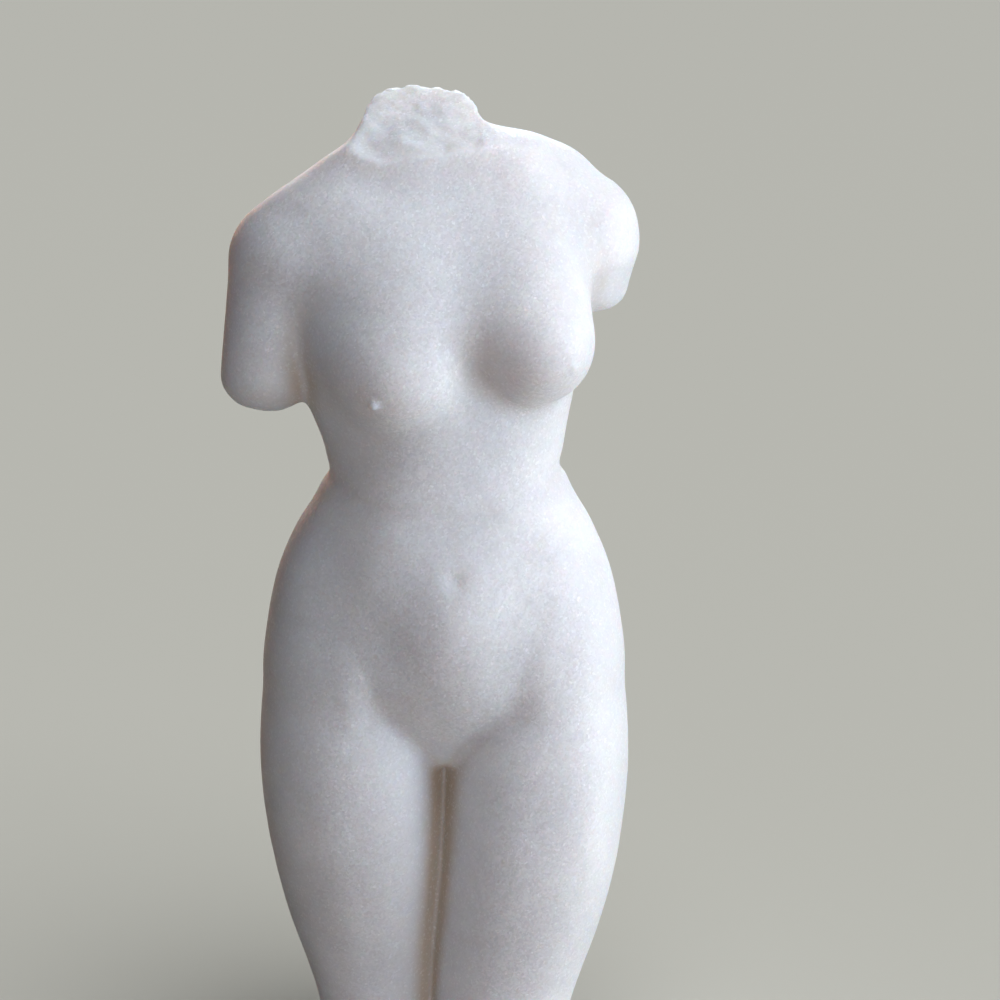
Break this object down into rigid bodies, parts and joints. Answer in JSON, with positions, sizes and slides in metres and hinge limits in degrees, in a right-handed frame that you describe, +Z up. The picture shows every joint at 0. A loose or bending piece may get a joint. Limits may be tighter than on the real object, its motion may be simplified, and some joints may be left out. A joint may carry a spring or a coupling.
{
  "type": "female torso sculpture",
  "caption": "Headless marble female torso with broken-off arms, legs ending at mid-thigh, standing on a low rectangular plinth; a decorative or study sculpture.",
  "frame": {"origin": "centre of the plinth's flat underside", "axes": "+Z up along the figure, -Y is where the figure faces, +X is the side of the shorter arm"},
  "size_m": [0.1391, 0.0886, 0.3423],
  "materials": {
    "torso_marble": "satin",
    "plinth_marble": "satin"
  },
  "bodies": {
    "root": {"torso": "torso_marble", "plinth": "plinth_marble"}
  },
  "joints": []
}
